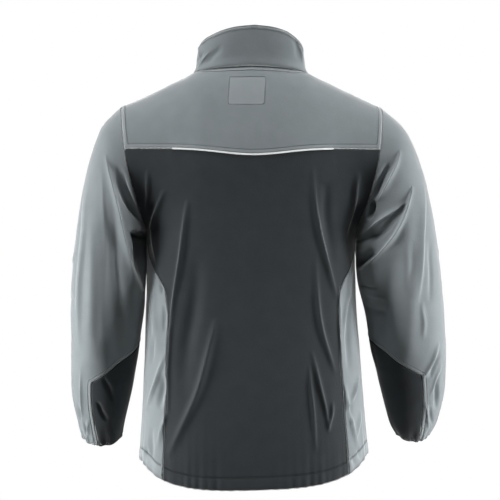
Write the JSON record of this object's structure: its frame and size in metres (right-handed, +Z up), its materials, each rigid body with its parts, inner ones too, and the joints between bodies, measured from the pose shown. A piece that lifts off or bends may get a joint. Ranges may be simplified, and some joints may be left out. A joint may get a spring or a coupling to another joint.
{
  "type": "fleece jacket",
  "caption": "Hollow, filled-out fleece jacket: grey yoke, sides, sleeves and stand collar, near-black back and forearm panels, pale yoke piping, dropped back hem and a closed front zip.",
  "frame": {"origin": "middle of the neck opening, level with the neck ends of the shoulders, where the wearer's neck and shoulders hold the jacket", "axes": "+Z up, the jacket's front towards -Y, the wearer's left towards +X"},
  "size_m": [0.7003, 0.2796, 0.8356],
  "materials": {
    "grey_fleece": "smooth-faced cool grey fleece, soft sheen",
    "black_fleece": "smooth-faced near-black fleece, soft sheen",
    "pale_piping": "smooth off-white corded piping",
    "black_elastic": "matt knitted elastic",
    "black_tape": "matt woven tape",
    "black_plastic": "satin moulded teeth",
    "dark_metal": "dark lacquered die casting"
  },
  "bodies": {
    "jacket": {"back_panel": "black_fleece", "back_yoke": "grey_fleece", "front_left": "grey_fleece", "front_right": "grey_fleece", "sleeve_left": "grey_fleece", "sleeve_right": "grey_fleece", "forearm_panel_left": "black_fleece", "forearm_panel_right": "black_fleece", "collar": "grey_fleece", "yoke_piping": "pale_piping", "cuff_binding_left": "black_elastic", "cuff_binding_right": "black_elastic", "zip_tape": "black_tape", "zip_chain": "black_plastic", "zip_slider": "dark_metal"},
    "pull_tab": {"zip_pull_tab": "dark_metal"}
  },
  "joints": [
    {"name": "pull_tab_swing", "type": "hinge", "parent": "jacket", "child": "pull_tab", "pos_m": [0, -0.0929, 0.01938], "axis": [-1, 0, 0], "range_deg": [0, 160]}
  ]
}
